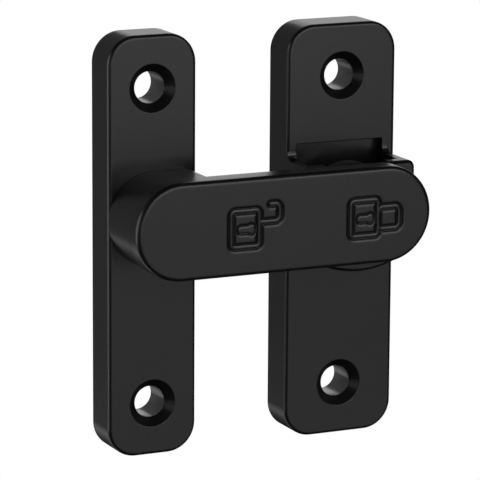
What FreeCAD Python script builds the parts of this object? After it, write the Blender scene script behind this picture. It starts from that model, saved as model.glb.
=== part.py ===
import FreeCAD
import Part
import math
import os
import Sketcher
from FreeCAD import Vector

# Barn door latch with two wall plates. A lever swings on the pivot plate, and the round head
# at its far end drops into a cup that is cast on the strike plate.
#
# X runs from the pivot plate to the strike plate, Y runs into the wall and Z points up.
# The origin is the middle of the pivot plate's back face.
# A depth is a distance in front of the wall, so a depth of d lies at Y = -d.
# A rise is a height above the pivot. Lengths are in millimetres and angles in degrees.

SIZES = {
    # Wall plates
    "plate_height": 80.0,
    "plate_thickness": 7.8,
    "plate_corner": 5.6,
    "plate_edge": 0.8,
    "pivot_plate_width": 17.8,
    "strike_plate_width": 22.8,
    "plate_gap": 18.8,
    "wall_hole_inset": 10.0,
    "wall_hole_radius": 3.0,
    "wall_sink_radius": 4.6,
    # Cup on the strike plate, from its own outline to the head's way in
    "cup_reach": 8.7,
    "cup_rise": 8.9,
    "cup_drop": 11.8,
    "cup_floor_arc": 19.0,
    "cup_corner": 6.0,
    "cup_shoulder": 1.5,
    "cup_edge": 0.6,
    "cup_root": 1.7,
    "cup_lip": 2.4,
    "recess_radius": 9.1,
    "recess_depth": 2.2,
    "recess_rise": 11.9,
    # Lever, with its hub over the pivot plate
    "pivot_rise": 5.5,
    "lever_radius": 9.25,
    "lever_overhang": 2.8,
    "lever_gap": 1.15,
    "lever_back": 1.25,
    "lever_front": 3.1,
    "lever_edge": 1.0,
    "draft_angle": 1.0,
    "hub_inset": 0.3,
    "hub_gap": 0.15,
    "hub_corner": 2.4,
    "neck_radius": 5.5,
    "neck_root": 0.6,
    # Head in the cup
    "head_radius": 8.5,
    "head_edge": 0.35,
    "head_lead": 1.2,
    "head_clearance": 0.2,
    "head_play": 0.3,
    "head_sweep": 0.8,
    "head_floor_gap": 0.4,
    "neck_clearance": 0.3,
    "head_screw_radius": 2.0,
    "head_screw_sink": 3.9,
    "head_screw_length": 11.0,
    "head_screw_slot": 1.0,
    # Pivot, held from the back of its plate
    "shoulder_radius": 3.0,
    "shoulder_clearance": 0.05,
    "pivot_thread_radius": 2.5,
    "pivot_thread_length": 7.6,
    "pivot_head_radius": 5.0,
    "pivot_head_height": 2.2,
    "pivot_head_sunk": 0.6,
    "pivot_key": 3.0,
    "pivot_key_depth": 1.5,
    "stack_radius": 5.8,
    "stack_clearance": 0.4,
    "washer_thickness": 0.5,
    "washer_clearance": 0.15,
    "spring_thickness": 0.4,
    "spring_cone": 0.45,
    "spring_gap": 0.03,
    "thrust_radius": 6.5,
    "thrust_thickness": 0.8,
    "thrust_clearance": 0.1,
    "thread_clearance": 0.03,
    "thread_chamfer": 0.5,
    "tap_runout": 1.0,
}

# Places that follow from the sizes
PLACES = {
    "wall_hole_rise": "Sizes.plate_height / 2 - Sizes.wall_hole_inset",
    "plate_pitch": "Sizes.pivot_plate_width / 2 + Sizes.plate_gap + Sizes.strike_plate_width / 2",
    "cup_front": "Sizes.plate_thickness + Sizes.cup_reach",
    "cup_top": "Sizes.pivot_rise + Sizes.cup_rise",
    "lip_back": "Places.cup_front - Sizes.cup_lip",
    "seat_radius": "Sizes.head_radius + Sizes.head_clearance",
    "throat_radius": "Sizes.neck_radius + Sizes.neck_clearance",
    "lever_back": "Places.cup_front + Sizes.lever_gap",
    "parting": "Places.lever_back + Sizes.lever_back",
    "hub_end": "Sizes.plate_thickness + Sizes.hub_gap",
    "hub_radius": "Sizes.lever_radius - Sizes.hub_inset",
    "head_front": "Places.lip_back - Sizes.head_play",
    "head_rear": "Sizes.plate_thickness + Sizes.head_sweep",
    "chamber_floor": "Places.head_rear - Sizes.head_floor_gap",
    "thrust_top": "Sizes.plate_thickness + Sizes.thrust_thickness",
    "pivot_bore": "Sizes.shoulder_radius + Sizes.shoulder_clearance",
    "screw_head_top": "Sizes.pivot_head_sunk + Sizes.pivot_head_height",
    "washer_top": "Places.screw_head_top + Sizes.washer_thickness",
    "counterbore_radius": "Sizes.stack_radius + Sizes.stack_clearance",
    "spring_height": "Sizes.spring_thickness + Sizes.spring_cone",
    "counterbore_depth": "Places.washer_top + Sizes.spring_gap + Places.spring_height",
    "ring_bore": "Sizes.shoulder_radius + Sizes.washer_clearance",
    "pivot_thread_end": "Places.thrust_top + Sizes.pivot_thread_length",
    "pivot_tap_end": "Places.pivot_thread_end + Sizes.tap_runout",
    "head_screw_sink_depth": "Sizes.head_screw_sink - Sizes.head_screw_radius",
    "head_screw_end": "Places.head_rear + Sizes.head_screw_length",
    "head_tap_end": "Places.head_screw_end + Sizes.tap_runout",
}

# How a sketch numbers the points of an edge and its own origin
FIRST, LAST, CENTRE = range(1, 4)
ORIGIN = (-1, FIRST)

TOUCHING = 1e-5

doc = FreeCAD.newDocument("barn_door_latch")


def fill_sheet(name, cells):
    sheet = doc.addObject("Spreadsheet::Sheet", name)
    for row, (alias, content) in enumerate(cells.items(), 1):
        sheet.set("A%d" % row, alias)
        sheet.set("B%d" % row, content)
        sheet.setAlias("B%d" % row, alias)
    doc.recompute()
    return sheet


sizes = fill_sheet("Sizes", {alias: str(number) for alias, number in SIZES.items()})
fill_sheet("Places", {alias: "=" + formula.replace("Places.", "") for alias, formula in PLACES.items()})


def value(expression):
    return float(sizes.evalExpression(expression))


# Sketch helpers


def new_sketch(body, name, role="XZ_Plane", depth="0"):
    """Start a sketch on one of the body's own planes, moved out along its normal by depth."""
    sketch = body.newObject("Sketcher::SketchObject", name)
    plane = [feature for feature in body.Origin.OriginFeatures if feature.Role == role][0]
    sketch.AttachmentSupport = [(plane, "")]
    sketch.MapMode = "FlatFace"
    sketch.setExpression("AttachmentOffset.Base.z", depth)
    return sketch


def bind(sketch, constraint, expression):
    index = sketch.addConstraint(constraint)
    sketch.setExpression("Constraints[%d]" % index, expression)


def locate(sketch, geometry, point, across, up):
    """Fix a point at its distances from the sketch's origin."""
    for kind, expression, in_line in (
        ("DistanceX", across, "Vertical"),
        ("DistanceY", up, "Horizontal"),
    ):
        distance = value(expression)
        if abs(distance) < TOUCHING:
            join(sketch, in_line, *ORIGIN, geometry, point)
        else:
            bind(sketch, Sketcher.Constraint(kind, *ORIGIN, geometry, point, distance), expression)


def add_circle(sketch, across, up, radius):
    centre = Vector(value(across), value(up), 0)
    index = sketch.addGeometry(Part.Circle(centre, Vector(0, 0, 1), value(radius)))
    locate(sketch, index, CENTRE, across, up)
    bind(sketch, Sketcher.Constraint("Radius", index, value(radius)), radius)


def draw_arc(sketch, across, up, radius, start, end):
    circle = Part.Circle(Vector(across, up, 0), Vector(0, 0, 1), radius)
    return sketch.addGeometry(Part.ArcOfCircle(circle, math.radians(start), math.radians(end)))


def add_arc(sketch, across, up, radius, start, end):
    """Add an arc about a located centre, from a start angle to an end angle in degrees."""
    index = draw_arc(sketch, value(across), value(up), value(radius), start, end)
    locate(sketch, index, CENTRE, across, up)
    return index


def end_of(sketch, geometry, point):
    return sketch.getPoint(geometry, point)


def add_line(sketch, start, end, direction=None):
    index = sketch.addGeometry(Part.LineSegment(start, end))
    if direction:
        sketch.addConstraint(Sketcher.Constraint(direction, index))
    return index


def join(sketch, kind, first, first_end, second, second_end):
    sketch.addConstraint(Sketcher.Constraint(kind, first, first_end, second, second_end))


def add_polygon(sketch, corners):
    """Add a closed outline of straight edges through corners given as pairs of expressions."""
    points = [Vector(value(across), value(up), 0) for across, up in corners]
    count = len(points)
    for index in range(count):
        sketch.addGeometry(Part.LineSegment(points[index], points[(index + 1) % count]))
    for index, (across, up) in enumerate(corners):
        join(sketch, "Coincident", index - 1 if index else count - 1, LAST, index, FIRST)
        locate(sketch, index, FIRST, across, up)


def add_plate_outline(sketch, width, height):
    left = "-(%s) / 2" % width
    right = "(%s) / 2" % width
    bottom = "-(%s) / 2" % height
    top = "(%s) / 2" % height
    add_polygon(sketch, ((left, bottom), (right, bottom), (right, top), (left, top)))


def add_stadium(sketch, up, length, radius):
    """Add two half circles, a length apart on one level, joined by straight sides."""
    near = add_arc(sketch, "0", up, radius, 90, 270)
    far = add_arc(sketch, length, up, radius, -90, 90)
    lower = add_line(sketch, end_of(sketch, near, LAST), end_of(sketch, far, FIRST), "Horizontal")
    upper = add_line(sketch, end_of(sketch, far, LAST), end_of(sketch, near, FIRST))
    join(sketch, "Tangent", near, LAST, lower, FIRST)
    join(sketch, "Tangent", lower, LAST, far, FIRST)
    join(sketch, "Tangent", far, LAST, upper, FIRST)
    join(sketch, "Tangent", upper, LAST, near, FIRST)
    bind(sketch, Sketcher.Constraint("Radius", near, value(radius)), radius)


def add_half_stadium(sketch, up, length, radius, corner):
    """Add a half circle with straight sides that end, a length from its centre, in round corners."""
    level = value(up)
    rise = value(radius)
    inset = value(length) - value(corner)
    low_bend = "(%s) - (%s) + (%s)" % (up, radius, corner)
    high_bend = "(%s) + (%s) - (%s)" % (up, radius, corner)
    near = add_arc(sketch, "0", up, radius, 90, 270)
    low_corner = draw_arc(sketch, inset, value(low_bend), value(corner), 270, 360)
    high_corner = draw_arc(sketch, inset, value(high_bend), value(corner), 0, 90)
    lower = add_line(
        sketch, Vector(0, level - rise, 0), Vector(inset, level - rise, 0), "Horizontal"
    )
    side = add_line(
        sketch, end_of(sketch, low_corner, LAST), end_of(sketch, high_corner, FIRST), "Vertical"
    )
    upper = add_line(
        sketch, Vector(inset, level + rise, 0), Vector(0, level + rise, 0), "Horizontal"
    )
    outline = (near, lower, low_corner, side, high_corner, upper)
    for index, piece in enumerate(outline):
        join(sketch, "Tangent", outline[index - 1], LAST, piece, FIRST)
    bind(sketch, Sketcher.Constraint("Radius", near, value(radius)), radius)
    bind(sketch, Sketcher.Constraint("Radius", low_corner, value(corner)), corner)
    bind(sketch, Sketcher.Constraint("Radius", high_corner, value(corner)), corner)
    bind(sketch, Sketcher.Constraint("DistanceX", *ORIGIN, side, FIRST, value(length)), length)


def add_way_in(sketch, radius, rise):
    """Add the outline that a round thing on the lever sweeps as it drops to its seat.

    Its left side is an arc about the pivot, which lies one plate pitch to the left.
    """
    seat_level = "Sizes.pivot_rise"
    sweep_radius = "Places.plate_pitch - %s" % radius
    top_level = "Sizes.pivot_rise + %s" % rise
    reach = (value(sweep_radius) ** 2 - value(rise) ** 2) ** 0.5 - value("Places.plate_pitch")
    lean = math.degrees(math.asin(value(rise) / value(sweep_radius)))
    seat = add_arc(sketch, "0", seat_level, radius, 180, 360)
    sweep = add_arc(sketch, "-Places.plate_pitch", seat_level, sweep_radius, 0, lean)
    right_foot = end_of(sketch, seat, LAST)
    right_head = Vector(right_foot.x, value(top_level), 0)
    left_head = Vector(reach, value(top_level), 0)
    right = add_line(sketch, right_foot, right_head, "Vertical")
    top = add_line(sketch, right_head, left_head, "Horizontal")
    join(sketch, "Tangent", seat, LAST, right, FIRST)
    join(sketch, "Coincident", right, LAST, top, FIRST)
    join(sketch, "Coincident", top, LAST, sweep, LAST)
    join(sketch, "Tangent", sweep, FIRST, seat, FIRST)
    bind(sketch, Sketcher.Constraint("Radius", seat, value(radius)), radius)
    bind(sketch, Sketcher.Constraint("DistanceY", *ORIGIN, top, FIRST, value(top_level)), top_level)


# Feature helpers


def new_body(label):
    body = doc.addObject("PartDesign::Body", label)
    body.Label = label
    return body


def add_pad(body, sketch, length, to_wall=False, taper="0"):
    """Raise a sketch away from the wall, or towards it, leaning inwards by taper."""
    pad = body.newObject("PartDesign::Pad", sketch.Name + "_pad")
    pad.Profile = sketch
    pad.Reversed = to_wall
    pad.setExpression("Length", length)
    pad.setExpression("TaperAngle", "-(%s)" % taper)
    doc.recompute()
    return pad


def add_pocket(body, sketch, length=None, from_wall=False):
    """Cut a sketch towards the wall, or away from it, right through if no length is given."""
    before = body.Shape.Volume
    pocket = body.newObject("PartDesign::Pocket", sketch.Name + "_pocket")
    pocket.Profile = sketch
    pocket.Reversed = from_wall
    if length is None:
        pocket.Type = "ThroughAll"
    else:
        pocket.setExpression("Length", length)
    doc.recompute()
    if pocket.Shape.Volume >= before:
        raise RuntimeError(pocket.Name + " cuts nothing")
    return pocket


def add_turning(body, sketch):
    """Turn a profile drawn right of the Y axis through a full circle about that axis."""
    turning = body.newObject("PartDesign::Revolution", sketch.Name + "_turning")
    turning.Profile = sketch
    turning.ReferenceAxis = (sketch, ["V_Axis"])
    turning.Angle = 360
    doc.recompute()
    return turning


def edge_names(shape, test):
    return ["Edge%d" % number for number, edge in enumerate(shape.Edges, 1) if test(edge)]


def add_dress_up(body, kind, base, names, size):
    """Round or bevel the named edges of base."""
    if not names:
        raise RuntimeError("no edges found on " + base.Name)
    feature = body.newObject("PartDesign::" + kind, "%s_%s" % (base.Name, kind.lower()))
    feature.Base = (base, names)
    feature.setExpression("Radius" if kind == "Fillet" else "Size", size)
    doc.recompute()
    return feature


def lies_at_depth(edge, depth):
    box = edge.BoundBox
    return abs(box.YMin + depth) < TOUCHING and abs(box.YMax + depth) < TOUCHING


def is_square_to_wall(edge):
    box = edge.BoundBox
    return box.XLength < TOUCHING and box.ZLength < TOUCHING


def is_circle_of(edge, radius):
    round_edge = isinstance(edge.Curve, Part.Circle)
    return round_edge and len(edge.Vertexes) == 1 and abs(edge.Curve.Radius - radius) < TOUCHING


# Parts that both wall plates share


def add_blank(body, width):
    """Cast blank of a wall plate: round corners and a softened front edge."""
    outline = new_sketch(body, body.Name + "_outline")
    add_plate_outline(outline, width, "Sizes.plate_height")
    slab = add_pad(body, outline, "Sizes.plate_thickness")
    corners = edge_names(slab.Shape, is_square_to_wall)
    rounded = add_dress_up(body, "Fillet", slab, corners, "Sizes.plate_corner")
    thickness = value("Sizes.plate_thickness")
    rim = edge_names(rounded.Shape, lambda edge: lies_at_depth(edge, thickness))
    return add_dress_up(body, "Fillet", rounded, rim, "Sizes.plate_edge")


def add_wall_holes(body):
    """Two countersunk holes for wood screws, on the plate's centre line."""
    drill = new_sketch(body, body.Name + "_drill", depth="Sizes.plate_thickness")
    for side in ("-", ""):
        add_circle(drill, "0", side + "Places.wall_hole_rise", "Sizes.wall_hole_radius")
    holes = add_pocket(body, drill)
    radius = value("Sizes.wall_hole_radius")
    thickness = value("Sizes.plate_thickness")
    mouths = edge_names(
        holes.Shape,
        lambda edge: is_circle_of(edge, radius) and lies_at_depth(edge, thickness),
    )
    add_dress_up(body, "Chamfer", holes, mouths, "Sizes.wall_sink_radius - Sizes.wall_hole_radius")


# Sub-parts


def make_pivot_plate():
    body = new_body("pivot_plate")
    add_blank(body, "Sizes.pivot_plate_width")
    add_wall_holes(body)
    bore = new_sketch(body, "pivot_bore", depth="Sizes.plate_thickness")
    add_circle(bore, "0", "Sizes.pivot_rise", "Places.pivot_bore")
    add_pocket(body, bore)
    counterbore = new_sketch(body, "pivot_counterbore")
    add_circle(counterbore, "0", "Sizes.pivot_rise", "Places.counterbore_radius")
    add_pocket(body, counterbore, "Places.counterbore_depth", from_wall=True)
    return body


def make_cup_blank():
    """Solid block of the cup, as wide as its plate, with a swept root above its top face.

    The root stops short of the round shoulder at the top of the block's far side.
    """
    body = new_body("cup_blank")
    half_width = "Sizes.strike_plate_width / 2"
    arc_level = "Sizes.pivot_rise - Sizes.cup_drop + Sizes.cup_floor_arc"
    start = "Sizes.plate_thickness / 2"
    outline = new_sketch(body, "cup_outline", depth=start)
    span = math.degrees(math.asin(value(half_width) / value("Sizes.cup_floor_arc")))
    floor = add_arc(outline, "0", arc_level, "Sizes.cup_floor_arc", 270 - span, 270 + span)
    low_left = end_of(outline, floor, FIRST)
    low_right = end_of(outline, floor, LAST)
    high_left = Vector(low_left.x, value("Places.cup_top"), 0)
    high_right = Vector(low_right.x, value("Places.cup_top"), 0)
    right = add_line(outline, low_right, high_right, "Vertical")
    top = add_line(outline, high_right, high_left, "Horizontal")
    left = add_line(outline, high_left, low_left, "Vertical")
    join(outline, "Coincident", floor, LAST, right, FIRST)
    join(outline, "Coincident", right, LAST, top, FIRST)
    join(outline, "Coincident", top, LAST, left, FIRST)
    join(outline, "Coincident", left, LAST, floor, FIRST)
    bind(
        outline,
        Sketcher.Constraint("Radius", floor, value("Sizes.cup_floor_arc")),
        "Sizes.cup_floor_arc",
    )
    locate(outline, top, FIRST, half_width, "Places.cup_top")
    bind(
        outline,
        Sketcher.Constraint("DistanceX", *ORIGIN, left, FIRST, low_left.x),
        "-" + half_width,
    )
    block = add_pad(body, outline, "Places.cup_front - " + start)
    middle_level = value("Sizes.pivot_rise")
    corners = edge_names(
        block.Shape,
        lambda edge: is_square_to_wall(edge) and edge.BoundBox.ZMax < middle_level,
    )
    rounded = add_dress_up(body, "Fillet", block, corners, "Sizes.cup_corner")
    shoulder = edge_names(
        rounded.Shape,
        lambda edge: is_square_to_wall(edge)
        and edge.BoundBox.ZMin > middle_level
        and edge.BoundBox.XMin > 0,
    )
    shouldered = add_dress_up(body, "Fillet", rounded, shoulder, "Sizes.cup_shoulder")
    front = value("Places.cup_front")
    rim = edge_names(shouldered.Shape, lambda edge: lies_at_depth(edge, front))
    add_dress_up(body, "Chamfer", shouldered, rim, "Sizes.cup_edge")
    root = new_sketch(body, "cup_root", role="YZ_Plane", depth="-" + half_width)
    arc = add_arc(
        root,
        "-(Sizes.plate_thickness + Sizes.cup_root)",
        "Places.cup_top + Sizes.cup_root",
        "Sizes.cup_root",
        270,
        360,
    )
    bind(root, Sketcher.Constraint("Radius", arc, value("Sizes.cup_root")), "Sizes.cup_root")
    inner = -value(start)
    high = end_of(root, arc, LAST)
    low = end_of(root, arc, FIRST)
    crest = add_line(root, high, Vector(inner, high.y, 0), "Horizontal")
    back = add_line(root, Vector(inner, high.y, 0), Vector(inner, low.y, 0), "Vertical")
    foot = add_line(root, Vector(inner, low.y, 0), low, "Horizontal")
    join(root, "Coincident", arc, LAST, crest, FIRST)
    join(root, "Coincident", crest, LAST, back, FIRST)
    join(root, "Coincident", back, LAST, foot, FIRST)
    join(root, "Tangent", foot, LAST, arc, FIRST)
    bind(
        root,
        Sketcher.Constraint("DistanceY", *ORIGIN, crest, FIRST, high.y),
        "Places.cup_top + Sizes.cup_root",
    )
    bind(root, Sketcher.Constraint("DistanceX", *ORIGIN, back, FIRST, inner), "-" + start)
    add_pad(body, root, "Sizes.strike_plate_width - Sizes.cup_shoulder")
    return body


def make_strike_plate():
    """Right plate with its cup: a chamber for the head behind a lip that the neck passes."""
    cup = make_cup_blank()
    body = new_body("strike_plate")
    add_blank(body, "Sizes.strike_plate_width")
    add_wall_holes(body)
    union = body.newObject("PartDesign::Boolean", "plate_and_cup")
    union.Type = "Fuse"
    union.setObjects([cup])
    doc.recompute()

    open_rise = "(Sizes.cup_rise + Sizes.cup_root)"
    throat = new_sketch(body, "throat", depth="Places.cup_front")
    add_way_in(throat, "Places.throat_radius", open_rise)
    add_pocket(body, throat, "Sizes.cup_lip")

    chamber = new_sketch(body, "chamber", depth="Places.lip_back")
    add_way_in(chamber, "Places.seat_radius", open_rise)
    add_pocket(body, chamber, "Places.lip_back - Places.chamber_floor")

    recess = new_sketch(body, "recess", depth="Places.chamber_floor")
    right = "Places.seat_radius"
    left = "Places.seat_radius - 2 * Sizes.recess_radius"
    middle = "Places.seat_radius - Sizes.recess_radius"
    level = "Sizes.pivot_rise"
    top = "Sizes.pivot_rise + Sizes.recess_rise"
    bowl = add_arc(recess, middle, level, "Sizes.recess_radius", 180, 360)
    high_right = Vector(value(right), value(top), 0)
    high_left = Vector(value(left), value(top), 0)
    right_side = add_line(recess, end_of(recess, bowl, LAST), high_right, "Vertical")
    top_side = add_line(recess, high_right, high_left, "Horizontal")
    left_side = add_line(recess, high_left, end_of(recess, bowl, FIRST), "Vertical")
    join(recess, "Tangent", bowl, LAST, right_side, FIRST)
    join(recess, "Coincident", right_side, LAST, top_side, FIRST)
    join(recess, "Coincident", top_side, LAST, left_side, FIRST)
    join(recess, "Tangent", left_side, LAST, bowl, FIRST)
    bind(
        recess,
        Sketcher.Constraint("Radius", bowl, value("Sizes.recess_radius")),
        "Sizes.recess_radius",
    )
    bind(recess, Sketcher.Constraint("DistanceY", *ORIGIN, top_side, FIRST, value(top)), top)
    add_pocket(body, recess, "Places.chamber_floor - Sizes.plate_thickness + Sizes.recess_depth")
    body.setExpression("Placement.Base.x", "Places.plate_pitch")
    return body


def make_latch_lever():
    """Lever casting: a drafted bar with a hub over the pivot and a neck for the head."""
    body = new_body("latch_lever")
    length = "Places.plate_pitch + Sizes.lever_overhang"
    for name, thickness, to_wall in (
        ("lever_face", "Sizes.lever_front", False),
        ("lever_rear", "Sizes.lever_back", True),
    ):
        outline = new_sketch(body, name, depth="Places.parting")
        add_stadium(outline, "Sizes.pivot_rise", length, "Sizes.lever_radius")
        add_pad(body, outline, thickness, to_wall, "Sizes.draft_angle")

    hub = new_sketch(body, "hub", depth="Places.lever_back")
    add_half_stadium(
        hub,
        "Sizes.pivot_rise",
        "Sizes.pivot_plate_width / 2",
        "Places.hub_radius",
        "Sizes.hub_corner",
    )
    add_pad(body, hub, "Places.lever_back - Places.hub_end", to_wall=True)

    neck = new_sketch(body, "neck", depth="Places.lever_back")
    add_circle(neck, "Places.plate_pitch", "Sizes.pivot_rise", "Sizes.neck_radius")
    stem = add_pad(body, neck, "Places.lever_back - Places.head_front", to_wall=True)
    neck_radius = value("Sizes.neck_radius")
    lever_back = value("Places.lever_back")
    roots = edge_names(
        stem.Shape,
        lambda edge: is_circle_of(edge, neck_radius) and lies_at_depth(edge, lever_back),
    )
    rooted = add_dress_up(body, "Chamfer", stem, roots, "Sizes.neck_root")
    front = value("Places.parting + Sizes.lever_front")
    rim = edge_names(rooted.Shape, lambda edge: lies_at_depth(edge, front))
    add_dress_up(body, "Fillet", rooted, rim, "Sizes.lever_edge")

    washer_seat = new_sketch(body, "washer_seat", depth="Places.hub_end")
    add_circle(
        washer_seat, "0", "Sizes.pivot_rise", "Sizes.thrust_radius + Sizes.thrust_clearance"
    )
    add_pocket(body, washer_seat, "Places.thrust_top - Places.hub_end", from_wall=True)
    pivot_tap = new_sketch(body, "pivot_tap", depth="Places.hub_end")
    add_circle(
        pivot_tap, "0", "Sizes.pivot_rise", "Sizes.pivot_thread_radius + Sizes.thread_clearance"
    )
    add_pocket(body, pivot_tap, "Places.pivot_tap_end - Places.hub_end", from_wall=True)
    head_tap = new_sketch(body, "head_tap", depth="Places.head_front")
    add_circle(
        head_tap,
        "Places.plate_pitch",
        "Sizes.pivot_rise",
        "Sizes.head_screw_radius + Sizes.thread_clearance",
    )
    add_pocket(body, head_tap, "Places.head_tap_end - Places.head_front", from_wall=True)
    return body


def make_turned(label, profile, across="0"):
    """Turned piece whose axis stands on the wall, drawn as radius and depth pairs."""
    body = new_body(label)
    sketch = new_sketch(body, label + "_profile", role="XY_Plane")
    add_polygon(sketch, [(radius, "-(%s)" % depth) for radius, depth in profile])
    add_turning(body, sketch)
    body.setExpression("Placement.Base.x", across)
    body.setExpression("Placement.Base.z", "Sizes.pivot_rise")
    return body


def make_catch_head():
    """Round head that the neck carries, bevelled at the rear to lead it into the cup."""
    hole = "Sizes.head_screw_radius + Sizes.thread_clearance"
    return make_turned(
        "catch_head",
        (
            (hole, "Places.head_rear + Places.head_screw_sink_depth"),
            ("Sizes.head_screw_sink + Sizes.thread_clearance", "Places.head_rear"),
            ("Sizes.head_radius - Sizes.head_lead", "Places.head_rear"),
            ("Sizes.head_radius", "Places.head_rear + Sizes.head_lead"),
            ("Sizes.head_radius", "Places.head_front - Sizes.head_edge"),
            ("Sizes.head_radius - Sizes.head_edge", "Places.head_front"),
            (hole, "Places.head_front"),
        ),
        "Places.plate_pitch",
    )


def make_catch_screw():
    """Countersunk screw that holds the head on the neck, with a straight slot."""
    radius = "Sizes.head_screw_radius"
    body = make_turned(
        "catch_screw",
        (
            ("0", "Places.head_rear"),
            ("Sizes.head_screw_sink", "Places.head_rear"),
            (radius, "Places.head_rear + Places.head_screw_sink_depth"),
            (radius, "Places.head_screw_end - Sizes.thread_chamfer"),
            (radius + " - Sizes.thread_chamfer", "Places.head_screw_end"),
            ("0", "Places.head_screw_end"),
        ),
        "Places.plate_pitch",
    )
    slot = new_sketch(body, "driver_slot", depth="Places.head_rear")
    add_plate_outline(slot, "2 * Sizes.head_screw_sink", "Sizes.head_screw_slot")
    add_pocket(body, slot, "Sizes.head_screw_slot", from_wall=True)
    return body


def make_pivot_screw():
    """Shoulder screw from the back of the plate: the lever turns on its shoulder."""
    shoulder = "Sizes.shoulder_radius"
    thread = "Sizes.pivot_thread_radius"
    body = make_turned(
        "pivot_screw",
        (
            ("0", "Sizes.pivot_head_sunk"),
            ("Sizes.pivot_head_radius", "Sizes.pivot_head_sunk"),
            ("Sizes.pivot_head_radius", "Places.screw_head_top"),
            (shoulder, "Places.screw_head_top"),
            (shoulder, "Places.thrust_top"),
            (thread, "Places.thrust_top"),
            (thread, "Places.pivot_thread_end - Sizes.thread_chamfer"),
            (thread + " - Sizes.thread_chamfer", "Places.pivot_thread_end"),
            ("0", "Places.pivot_thread_end"),
        ),
    )
    socket = new_sketch(body, "key_socket", depth="Sizes.pivot_head_sunk")
    across_corners = "Sizes.pivot_key / sqrt(3)"
    add_polygon(
        socket,
        [
            ("%s * cos(%d)" % (across_corners, angle), "%s * sin(%d)" % (across_corners, angle))
            for angle in range(0, 360, 60)
        ],
    )
    add_pocket(body, socket, "Sizes.pivot_key_depth", from_wall=True)
    return body


def make_ring(label, bore, radius, rear, front):
    return make_turned(label, ((bore, rear), (radius, rear), (radius, front), (bore, front)))


def make_disc_spring():
    """Coned spring washer, wide end on the floor of the counterbore."""
    floor = "Places.counterbore_depth"
    crown = "Places.counterbore_depth - Places.spring_height"
    return make_turned(
        "disc_spring",
        (
            ("Places.ring_bore", crown),
            ("Sizes.stack_radius", floor + " - Sizes.spring_thickness"),
            ("Sizes.stack_radius", floor),
            ("Places.ring_bore", crown + " + Sizes.spring_thickness"),
        ),
    )


parts = [
    make_pivot_plate(),
    make_strike_plate(),
    make_latch_lever(),
    make_catch_head(),
    make_catch_screw(),
    make_pivot_screw(),
    make_disc_spring(),
    make_ring(
        "pivot_washer",
        "Places.ring_bore",
        "Sizes.stack_radius",
        "Places.screw_head_top",
        "Places.washer_top",
    ),
    make_ring(
        "thrust_washer",
        "Places.ring_bore",
        "Sizes.thrust_radius",
        "Sizes.plate_thickness",
        "Places.thrust_top",
    ),
]
doc.recompute()

for item in doc.Objects:
    if "Invalid" in item.State or "Error" in item.State:
        raise RuntimeError(item.Label + " did not build")
for part in parts:
    if part.Shape.isNull() or not part.Shape.isValid() or len(part.Shape.Solids) != 1:
        raise RuntimeError(part.Label + " is not one sound solid")

os.makedirs("parts", exist_ok=True)
for part in parts:
    part.Shape.exportStep("parts/%s.step" % part.Label)
    print(part.Label, round(part.Shape.Volume, 1), "cubic millimetres")
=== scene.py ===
import math

import bmesh
import bpy
import numpy as np
from mathutils import Matrix, Vector


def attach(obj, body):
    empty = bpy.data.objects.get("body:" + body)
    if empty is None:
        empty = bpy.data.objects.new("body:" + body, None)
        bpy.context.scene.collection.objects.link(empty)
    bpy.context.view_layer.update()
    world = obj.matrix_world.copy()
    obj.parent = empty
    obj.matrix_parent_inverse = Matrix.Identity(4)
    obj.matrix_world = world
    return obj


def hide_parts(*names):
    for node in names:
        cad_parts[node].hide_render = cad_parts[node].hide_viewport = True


# Barn door latch in black powder coat. Lengths are in metres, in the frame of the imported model:
# X from the pivot plate to the strike plate, Y into the wall, Z up.

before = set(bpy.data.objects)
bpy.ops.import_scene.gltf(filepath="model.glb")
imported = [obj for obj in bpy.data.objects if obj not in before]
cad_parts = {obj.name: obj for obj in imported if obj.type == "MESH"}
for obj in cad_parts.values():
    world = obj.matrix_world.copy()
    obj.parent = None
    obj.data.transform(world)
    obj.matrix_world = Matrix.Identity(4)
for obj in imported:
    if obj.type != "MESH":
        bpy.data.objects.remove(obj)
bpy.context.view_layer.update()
MM = 0.001

# Camera, as fitted to the photograph, which is 480 pixels wide
IMAGE = 480
AZIMUTH = math.radians(-25.0)
ELEVATION = math.radians(12.087)
ROLL = math.radians(0.345)
FOCAL_PIXELS = 3224.63
CAMERA_DISTANCE = 616.961 * MM
CAMERA_TARGET = Vector((21.592, 0.0, -1.934)) * MM
SENSOR_MM = 36.0
CLIP_START = 10.0 * MM
CLIP_END = 50.0

# Lever face with its two padlock signs, the open one first. They lie on their sides, so that
# they stand upright when the lever does. Their relief is a fine grid of SIGN_PITCH
FACE_DEPTH = 22.0 * MM
PIVOT_RISE = 5.5 * MM
SIGN_PLACES = (12.53 * MM, 37.08 * MM)
SIGN_LOWER = 0.32 * MM
SIGN_PITCH = 0.055 * MM
SIGN_MARGIN = 1.3 * MM
WELD_DISTANCE = 0.0001 * MM
FACE_TOLERANCE = 0.0005 * MM

# A padlock: its body, its shackle from the body's right side, and its keyhole
BODY_HALF_WIDTH = 2.84 * MM
BODY_HALF_HEIGHT = 3.38 * MM
BODY_CORNER = 0.75 * MM
SHACKLE_CORNER = 1.05 * MM
SHACKLE_FOOT = 1.05 * MM
OPEN_SHACKLE_REACH = 7.04 * MM
OPEN_SHACKLE_TOP = 4.28 * MM
OPEN_SHACKLE_TIP = 5.15 * MM
SHUT_SHACKLE_REACH = 7.32 * MM
SHUT_SHACKLE_TOP = 1.86 * MM
SHUT_SHACKLE_FOOT = -2.28 * MM
ARC_STEPS = 6
KEYHOLE_X = 1.15 * MM
KEYHOLE_RISE = -0.13 * MM
KEYHOLE_RADIUS = 0.54 * MM
KEYHOLE_TAIL = -0.95 * MM
KEYHOLE_TAIL_HALF = 0.32 * MM

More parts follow.
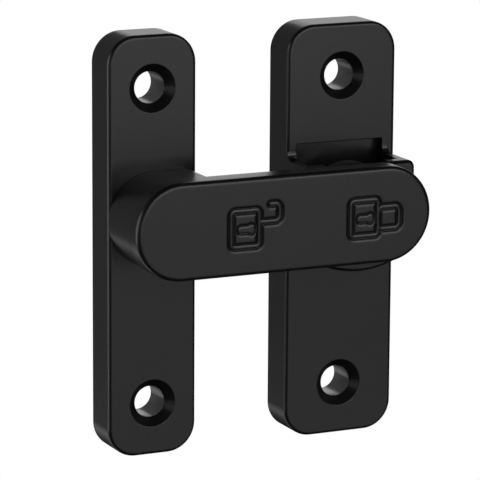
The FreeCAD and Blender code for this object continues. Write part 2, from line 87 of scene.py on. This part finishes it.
# Relief across a drawn line, from its middle outwards: a flat crest, a slope down to a shoulder,
# a steep foot at the bottom of the groove, and a wall that runs out into the face
RIB_HALF_WIDTH = 0.05 * MM
RIB_SHOULDER = 0.35 * MM
RIB_FOOT = 0.45 * MM
WALL_END = 1.22 * MM
RIB_SUNK = 0.02 * MM
SHOULDER_SUNK = 0.12 * MM
SUNK = 0.36 * MM

# Noise hardly leaves this range, which is spread over the colours and the roughness
NOISE_LOW = 0.3
NOISE_HIGH = 0.7

# Powder coat: colours and roughness at the two ends of its noise, and the sizes of its lumps
COAT_COLOURS = ((0.0020, 0.0020, 0.0021), (0.0030, 0.0030, 0.0031))
COAT_ROUGHNESS = (0.27, 0.34)
MOTTLE_SIZE = 6.0 * MM
PEEL_SIZE = 0.9 * MM
PEEL_DEPTH = 0.006 * MM
GRAIN_SIZE = 0.16 * MM
GRAIN_DEPTH = 0.0015 * MM
EDGE_RADIUS = 0.25 * MM
EDGE_SAMPLES = 8

# Screw holes on both plates, whose walls are metal under a thin coat, with rings from the drill.
# HOLE_SPAN lies between the two plates' holes and HOLE_PITCH between the holes of one plate
HOLE_SPAN = 39.1 * MM
HOLE_PITCH = 60.0 * MM
HOLE_WALL = 3.03 * MM
THIN_COAT = (0.24, 0.24, 0.245)
RING_PITCH = 0.45 * MM
RING_DEPTH = 0.012 * MM

# Places of a mix node's colour sockets, which have the same names as its other sockets
COLOUR_MIX_FIRST = 6
COLOUR_MIX_SECOND = 7
COLOUR_MIX_RESULT = 2

# Bare metals: colours and roughness at the two ends of the noise
ZINC_COLOURS = ((0.50, 0.51, 0.54), (0.62, 0.63, 0.65))
ZINC_ROUGHNESS = (0.26, 0.38)
SPRING_COLOURS = ((0.16, 0.16, 0.18), (0.24, 0.24, 0.26))
SPRING_ROUGHNESS = (0.3, 0.42)
BLOTCH_SIZE = 1.5 * MM
SCRATCH_SIZE = 0.12 * MM
SCRATCH_DEPTH = 0.002 * MM

NYLON_COLOURS = ((0.012, 0.012, 0.012), (0.02, 0.02, 0.02))
NYLON_ROUGHNESS = (0.45, 0.6)
NYLON_GRAIN_SIZE = 0.3 * MM
NYLON_GRAIN_DEPTH = 0.003 * MM

# Light and floor
WORLD_LIGHT = 0.7
BACKDROP_LIGHT = 1.0
FLOOR_RADIUS = 0.9
FLOOR_DROP = 0.62
FLOOR_SEGMENTS = 96
FLOOR_GREY = 0.85
FLOOR_ROUGHNESS = 0.9

# Cards that only the gloss shows, each with its left and right end, lower and upper end and
# brightness. Ends are in degrees: round the object from behind it towards its right, and in height
CARD_STEP = 6.0
CARD_DISTANCE = 0.55
CARDS = {
    "key_high": (130, 195, 14, 34, 2.55),
    "key": (145, 195, -8, 8, 1.40),
    "under": (130, 195, -40, -12, 0.62),
    "left": (260, 300, -22, 26, 2.00),
    "left_front": (225, 260, -8, 16, 0.50),
    "left_back": (300, 345, -22, 46, 0.14),
    "left_back_low": (300, 345, -70, -22, 0.78),
    "back": (-15, 15, 4, 64, 0.15),
    "back_right": (15, 45, -20, 46, 1.00),
}
SURROUND_DISTANCE = 0.58
SURROUND = (-180, 180, -90, 90, 0.03)


def add_to_scene(name, data):
    """New object with the given mesh or camera."""
    thing = bpy.data.objects.new(name, data)
    bpy.context.scene.collection.objects.link(thing)
    return thing


# Materials


def new_material(name):
    """New material, with its node tree and its shader."""
    material = bpy.data.materials.new(name)
    material.use_nodes = True
    tree = material.node_tree
    return material, tree, tree.nodes["Principled BSDF"]


def add_noise(tree, size, detail):
    """Noise whose lumps are about size wide, from the piece's own coordinates."""
    place = tree.nodes.new("ShaderNodeTexCoord")
    noise = tree.nodes.new("ShaderNodeTexNoise")
    noise.inputs["Scale"].default_value = 1.0 / size
    noise.inputs["Detail"].default_value = detail
    tree.links.new(place.outputs["Object"], noise.inputs["Vector"])
    return noise.outputs["Fac"]


def add_range(tree, source, low, high):
    spread = tree.nodes.new("ShaderNodeMapRange")
    spread.inputs["From Min"].default_value = NOISE_LOW
    spread.inputs["From Max"].default_value = NOISE_HIGH
    spread.inputs["To Min"].default_value = low
    spread.inputs["To Max"].default_value = high
    tree.links.new(source, spread.inputs["Value"])
    return spread.outputs["Result"]


def add_tint(tree, source, dark, light):
    ramp = tree.nodes.new("ShaderNodeValToRGB")
    ends = ramp.color_ramp.elements
    ends[0].position = NOISE_LOW
    ends[1].position = NOISE_HIGH
    ends[0].color = (*dark, 1)
    ends[1].color = (*light, 1)
    tree.links.new(source, ramp.inputs["Fac"])
    return ramp.outputs["Color"]


def add_bump(tree, source, depth, below=None):
    """Bump that is depth high where the source is 1, on top of the bump below it, if any."""
    bump = tree.nodes.new("ShaderNodeBump")
    bump.inputs["Strength"].default_value = 1.0
    bump.inputs["Distance"].default_value = depth
    tree.links.new(source, bump.inputs["Height"])
    if below:
        tree.links.new(below, bump.inputs["Normal"])
    return bump.outputs["Normal"]


def add_math(tree, operation, first, second=0.0):
    """Math node. Its first value is a socket, its second a number or a socket."""
    step = tree.nodes.new("ShaderNodeMath")
    step.operation = operation
    tree.links.new(first, step.inputs[0])
    if isinstance(second, float):
        step.inputs[1].default_value = second
    else:
        tree.links.new(second, step.inputs[1])
    return step.outputs[0]


def make_powder_coat(name, edge_radius):
    """Black coat. Unless the radius is 0, sharp edges catch the light as if rounded to it."""
    material, tree, shader = new_material(name)
    mottle = add_noise(tree, MOTTLE_SIZE, detail=3.0)
    peel = add_noise(tree, PEEL_SIZE, detail=1.0)
    grain = add_noise(tree, GRAIN_SIZE, detail=2.0)
    tree.links.new(add_tint(tree, mottle, *COAT_COLOURS), shader.inputs["Base Color"])
    tree.links.new(add_range(tree, grain, *COAT_ROUGHNESS), shader.inputs["Roughness"])
    below = None
    if edge_radius:
        rounding = tree.nodes.new("ShaderNodeBevel")
        rounding.samples = EDGE_SAMPLES
        rounding.inputs["Radius"].default_value = edge_radius
        below = rounding.outputs["Normal"]
    waves = add_bump(tree, peel, PEEL_DEPTH, below)
    tree.links.new(add_bump(tree, grain, GRAIN_DEPTH, waves), shader.inputs["Normal"])
    return material


def add_hole_walls(tree):
    """Two sockets: 1 on the walls of the four screw holes, and rings that go round them."""
    place = tree.nodes.new("ShaderNodeTexCoord")
    parts = tree.nodes.new("ShaderNodeSeparateXYZ")
    tree.links.new(place.outputs["Object"], parts.inputs["Vector"])
    across = add_math(tree, "SUBTRACT", parts.outputs["X"], HOLE_SPAN / 2)
    across = add_math(tree, "ABSOLUTE", across)
    across = add_math(tree, "SUBTRACT", across, HOLE_SPAN / 2)
    up = add_math(tree, "ABSOLUTE", parts.outputs["Z"])
    up = add_math(tree, "SUBTRACT", up, HOLE_PITCH / 2)
    offset = tree.nodes.new("ShaderNodeCombineXYZ")
    tree.links.new(across, offset.inputs["X"])
    tree.links.new(up, offset.inputs["Y"])
    reach = tree.nodes.new("ShaderNodeVectorMath")
    reach.operation = "LENGTH"
    tree.links.new(offset.outputs["Vector"], reach.inputs[0])
    wall = add_math(tree, "LESS_THAN", reach.outputs["Value"], HOLE_WALL)
    turns = add_math(tree, "MULTIPLY", parts.outputs["Y"], math.tau / RING_PITCH)
    rings = add_math(tree, "SINE", turns)
    return wall, add_math(tree, "MULTIPLY", rings, wall)


def make_plate_coat():
    """The coat on the plates, which is thin on the walls of the screw holes."""
    material = make_powder_coat("black_powder_coat_on_plates", EDGE_RADIUS)
    tree = material.node_tree
    shader = tree.nodes["Principled BSDF"]
    wall, rings = add_hole_walls(tree)
    thick_coat = shader.inputs["Base Color"].links[0].from_socket
    mix = tree.nodes.new("ShaderNodeMix")
    mix.data_type = "RGBA"
    tree.links.new(wall, mix.inputs["Factor"])
    tree.links.new(thick_coat, mix.inputs[COLOUR_MIX_FIRST])
    mix.inputs[COLOUR_MIX_SECOND].default_value = (*THIN_COAT, 1)
    tree.links.new(mix.outputs[COLOUR_MIX_RESULT], shader.inputs["Base Color"])
    tree.links.new(wall, shader.inputs["Metallic"])
    waves = shader.inputs["Normal"].links[0].from_socket
    tree.links.new(add_bump(tree, rings, RING_DEPTH, waves), shader.inputs["Normal"])
    return material


def make_metal(name, colours, roughness):
    """Bare or plated metal, with blotches and fine scratches."""
    material, tree, shader = new_material(name)
    blotch = add_noise(tree, BLOTCH_SIZE, detail=4.0)
    scratch = add_noise(tree, SCRATCH_SIZE, detail=3.0)
    shader.inputs["Metallic"].default_value = 1.0
    tree.links.new(add_tint(tree, blotch, *colours), shader.inputs["Base Color"])
    tree.links.new(add_range(tree, scratch, *roughness), shader.inputs["Roughness"])
    tree.links.new(add_bump(tree, scratch, SCRATCH_DEPTH), shader.inputs["Normal"])
    return material


def make_nylon():
    material, tree, shader = new_material("black_nylon")
    grain = add_noise(tree, NYLON_GRAIN_SIZE, detail=3.0)
    tree.links.new(add_tint(tree, grain, *NYLON_COLOURS), shader.inputs["Base Color"])
    tree.links.new(add_range(tree, grain, *NYLON_ROUGHNESS), shader.inputs["Roughness"])
    tree.links.new(add_bump(tree, grain, NYLON_GRAIN_DEPTH), shader.inputs["Normal"])
    return material


def paint(piece, material):
    piece.data.materials.clear()
    piece.data.materials.append(material)


# Lever with its signs


def distance_to_box(x, z, centre_x, centre_z, half_x, half_z, corner):
    """Signed distance to a rectangle with round corners, negative inside."""
    across = np.abs(x - centre_x) - half_x + corner
    up = np.abs(z - centre_z) - half_z + corner
    outside = np.hypot(np.maximum(across, 0), np.maximum(up, 0))
    return outside + np.minimum(np.maximum(across, up), 0) - corner


def distance_to_line(x, z, start, end):
    """Distance to a straight line between two points."""
    along = (end[0] - start[0], end[1] - start[1])
    length = along[0] ** 2 + along[1] ** 2
    share = ((x - start[0]) * along[0] + (z - start[1]) * along[1]) / length
    share = np.clip(share, 0, 1)
    return np.hypot(x - start[0] - share * along[0], z - start[1] - share * along[1])


def distance_to_path(x, z, corners, radius):
    """Distance to a path of straight runs whose inner corners are rounded to radius."""
    points = []
    for index, corner in enumerate(corners):
        if index in (0, len(corners) - 1):
            points.append(Vector(corner))
            continue
        here = Vector(corner)
        before = (Vector(corners[index - 1]) - here).normalized()
        after = (Vector(corners[index + 1]) - here).normalized()
        centre = here + (before + after) * radius
        start = -after * radius
        sweep = -before * radius
        for step in range(ARC_STEPS + 1):
            turn = math.pi / 2 * step / ARC_STEPS
            points.append(centre + start * math.cos(turn) + sweep * math.sin(turn))
    runs = zip(points, points[1:])
    return np.minimum.reduce([distance_to_line(x, z, start, end) for start, end in runs])


def sign_depth(x, z, is_open):
    """How far the face is sunk at a place given from the middle of the padlock's body."""
    body = np.abs(distance_to_box(x, z, 0, 0, BODY_HALF_WIDTH, BODY_HALF_HEIGHT, BODY_CORNER))
    if is_open:
        shackle = distance_to_path(
            x,
            z,
            (
                (BODY_HALF_WIDTH, SHACKLE_FOOT),
                (OPEN_SHACKLE_REACH, SHACKLE_FOOT),
                (OPEN_SHACKLE_REACH, OPEN_SHACKLE_TOP),
                (OPEN_SHACKLE_TIP, OPEN_SHACKLE_TOP),
            ),
            SHACKLE_CORNER,
        )
    else:
        shackle = np.abs(
            distance_to_box(
                x,
                z,
                (BODY_HALF_WIDTH + SHUT_SHACKLE_REACH) / 2,
                (SHUT_SHACKLE_TOP + SHUT_SHACKLE_FOOT) / 2,
                (SHUT_SHACKLE_REACH - BODY_HALF_WIDTH) / 2,
                (SHUT_SHACKLE_TOP - SHUT_SHACKLE_FOOT) / 2,
                SHACKLE_CORNER,
            )
        )
    bow = np.hypot(x - KEYHOLE_X, z - KEYHOLE_RISE) - KEYHOLE_RADIUS
    tail_end = (KEYHOLE_TAIL, KEYHOLE_RISE)
    tail = distance_to_line(x, z, tail_end, (KEYHOLE_X, KEYHOLE_RISE)) - KEYHOLE_TAIL_HALF
    keyhole = np.maximum(np.minimum(bow, tail), 0) + RIB_HALF_WIDTH
    near = np.minimum(np.minimum(body, shackle), keyhole)
    wall = np.clip((WALL_END - near) / (WALL_END - RIB_FOOT), 0, 1)
    rib = np.interp(
        near,
        (RIB_HALF_WIDTH, RIB_SHOULDER, RIB_FOOT),
        (RIB_SUNK, SHOULDER_SUNK, SUNK),
    )
    return np.where(near < RIB_FOOT, rib, SUNK * wall ** 2)


def add_sign(bm, normals, centre_x, is_open):
    """Add a fine grid with one sign to the face, with its normals in the layer normals."""
    centre_z = PIVOT_RISE - SIGN_LOWER
    reach = OPEN_SHACKLE_REACH if is_open else SHUT_SHACKLE_REACH
    top = max(BODY_HALF_HEIGHT, OPEN_SHACKLE_TOP if is_open else 0)
    xs = np.arange(-BODY_HALF_WIDTH - SIGN_MARGIN, reach + SIGN_MARGIN, SIGN_PITCH)
    zs = np.arange(-BODY_HALF_HEIGHT - SIGN_MARGIN, top + SIGN_MARGIN, SIGN_PITCH)
    across, up = np.meshgrid(xs, zs, indexing="ij")
    depth = sign_depth(across, up, is_open)
    slope_x, slope_z = np.gradient(depth, SIGN_PITCH)
    grid = [
        [
            bm.verts.new((centre_x + x, -FACE_DEPTH + depth[i, k], centre_z + z))
            for k, z in enumerate(zs)
        ]
        for i, x in enumerate(xs)
    ]
    facing = {}
    for i in range(len(xs)):
        for k in range(len(zs)):
            facing[grid[i][k]] = Vector((slope_x[i, k], -1, slope_z[i, k])).normalized()
    for i in range(len(xs) - 1):
        for k in range(len(zs) - 1):
            quad = (grid[i][k], grid[i + 1][k], grid[i + 1][k + 1], grid[i][k + 1])
            face = bm.faces.new(quad)
            for loop in face.loops:
                loop[normals] = facing[loop.vert]


def make_lever(material):
    """The lever's casting, with the signs sunk into its face.

    The casting keeps its own normals, which the mesh would lose when its face is made anew.
    """
    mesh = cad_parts["latch_lever"].data.copy()
    given = np.zeros(len(mesh.loops) * 3, np.float32)
    mesh.corner_normals.foreach_get("vector", given)
    given = given.reshape(-1, 3)
    bm = bmesh.new()
    bm.from_mesh(mesh)
    normals = bm.loops.layers.float_vector.new("facing")
    loops = (loop for face in bm.faces for loop in face.loops)
    for loop, normal in zip(loops, given):
        loop[normals] = normal
    bmesh.ops.remove_doubles(bm, verts=bm.verts, dist=WELD_DISTANCE)
    front = [f for f in bm.faces if all(v.co.y < FACE_TOLERANCE - FACE_DEPTH for v in f.verts)]
    bmesh.ops.delete(bm, geom=front, context="FACES_ONLY")
    for centre_x, is_open in zip(SIGN_PLACES, (True, False)):
        add_sign(bm, normals, centre_x, is_open)
    rims = [edge for edge in bm.edges if edge.is_boundary]
    filled = bmesh.ops.triangle_fill(
        bm, use_beauty=True, use_dissolve=False, edges=rims, normal=(0, -1, 0)
    )
    for face in filled["geom"]:
        if isinstance(face, bmesh.types.BMFace):
            for loop in face.loops:
                loop[normals] = Vector((0, -1, 0))
    for face in bm.faces:
        face.smooth = True
    bm.to_mesh(mesh)
    bm.free()
    facing = np.zeros(len(mesh.loops) * 3, np.float32)
    mesh.attributes["facing"].data.foreach_get("vector", facing)
    mesh.normals_split_custom_set(facing.reshape(-1, 3).tolist())
    mesh.attributes.remove(mesh.attributes["facing"])
    lever = add_to_scene("lever_casting", mesh)
    paint(lever, material)
    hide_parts("latch_lever")
    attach(lever, "lever")


# Camera, light and stage


def make_camera():
    camera = add_to_scene("camera", bpy.data.cameras.new("camera"))
    away = Vector(
        (
            math.sin(AZIMUTH) * math.cos(ELEVATION),
            -math.cos(AZIMUTH) * math.cos(ELEVATION),
            math.sin(ELEVATION),
        )
    )
    camera.rotation_mode = "QUATERNION"
    camera.rotation_quaternion = (
        (-away).to_track_quat("-Z", "Y") @ Matrix.Rotation(ROLL, 3, "Z").to_quaternion()
    )
    camera.location = CAMERA_TARGET + away * CAMERA_DISTANCE
    camera.data.sensor_width = SENSOR_MM
    camera.data.lens = FOCAL_PIXELS / IMAGE * SENSOR_MM
    camera.data.clip_start = CLIP_START
    camera.data.clip_end = CLIP_END
    bpy.context.scene.camera = camera


def make_card(name, left, right, low, high, brightness, distance):
    """Curved card round the object that only shows in its gloss."""
    columns = max(2, round((right - left) / CARD_STEP))
    rows = max(2, round((high - low) / CARD_STEP))
    mesh = bpy.data.meshes.new(name)
    points = []
    for column in range(columns + 1):
        turn = math.radians(left + (right - left) * column / columns)
        for row in range(rows + 1):
            rise = math.radians(low + (high - low) * row / rows)
            aside = Vector((math.sin(turn), math.cos(turn), 0)) * math.cos(rise)
            points.append((aside + Vector((0, 0, math.sin(rise)))) * distance)
    quads = []
    for column in range(columns):
        for row in range(rows):
            near = column * (rows + 1) + row
            far = near + rows + 1
            quads.append((near, far, far + 1, near + 1))
    mesh.from_pydata(points, [], quads)
    card = add_to_scene(name, mesh)
    card.location = CAMERA_TARGET
    material = bpy.data.materials.new(name)
    material.use_nodes = True
    tree = material.node_tree
    tree.nodes.clear()
    glow = tree.nodes.new("ShaderNodeEmission")
    glow.inputs["Color"].default_value = (1, 1, 1, 1)
    glow.inputs["Strength"].default_value = brightness
    output = tree.nodes.new("ShaderNodeOutputMaterial")
    tree.links.new(glow.outputs["Emission"], output.inputs["Surface"])
    paint(card, material)
    card.visible_camera = False
    card.visible_diffuse = False
    card.visible_shadow = False
    card.visible_transmission = False


def make_floor():
    bm = bmesh.new()
    bmesh.ops.create_circle(bm, cap_ends=True, radius=FLOOR_RADIUS, segments=FLOOR_SEGMENTS)
    mesh = bpy.data.meshes.new("floor")
    bm.to_mesh(mesh)
    bm.free()
    floor = add_to_scene("floor", mesh)
    floor.location = (CAMERA_TARGET.x, 0, -FLOOR_DROP)
    material, _, shader = new_material("pale_floor")
    shader.inputs["Base Color"].default_value = (FLOOR_GREY, FLOOR_GREY, FLOOR_GREY, 1)
    shader.inputs["Roughness"].default_value = FLOOR_ROUGHNESS
    paint(floor, material)


def make_world():
    """Soft light all round, and plain white where the background shows."""
    world = bpy.data.worlds.new("studio")
    bpy.context.scene.world = world
    world.use_nodes = True
    nodes = world.node_tree.nodes
    links = world.node_tree.links
    nodes.clear()
    path = nodes.new("ShaderNodeLightPath")
    shown = path.outputs["Is Camera Ray"]
    for ray in ("Is Glossy Ray", "Is Transmission Ray"):
        either = nodes.new("ShaderNodeMath")
        either.operation = "MAXIMUM"
        links.new(shown, either.inputs[0])
        links.new(path.outputs[ray], either.inputs[1])
        shown = either.outputs[0]
    mix = nodes.new("ShaderNodeMixShader")
    links.new(shown, mix.inputs["Fac"])
    for place, strength in ((1, WORLD_LIGHT), (2, BACKDROP_LIGHT)):
        background = nodes.new("ShaderNodeBackground")
        background.inputs["Color"].default_value = (1, 1, 1, 1)
        background.inputs["Strength"].default_value = strength
        links.new(background.outputs[0], mix.inputs[place])
    output = nodes.new("ShaderNodeOutputWorld")
    links.new(mix.outputs[0], output.inputs["Surface"])


coat = make_powder_coat("black_powder_coat", EDGE_RADIUS)
plate_coat = make_plate_coat()
sign_coat = make_powder_coat("black_powder_coat_on_signs", 0)
plated = make_metal("zinc_plate", ZINC_COLOURS, ZINC_ROUGHNESS)
spring = make_metal("spring_steel", SPRING_COLOURS, SPRING_ROUGHNESS)
FINISHES = {
    "pivot_plate": plate_coat,
    "strike_plate": plate_coat,
    "catch_head": coat,
    "latch_lever": sign_coat,
    "catch_screw": plated,
    "pivot_screw": plated,
    "pivot_washer": plated,
    "disc_spring": spring,
    "thrust_washer": make_nylon(),
}
for name, finish in FINISHES.items():
    paint(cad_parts[name], finish)
make_lever(sign_coat)

make_camera()
make_world()
make_floor()
for name, card in CARDS.items():
    make_card(name, *card, CARD_DISTANCE)
make_card("surround", *SURROUND, SURROUND_DISTANCE)
bpy.context.scene.view_settings.view_transform = "Standard"
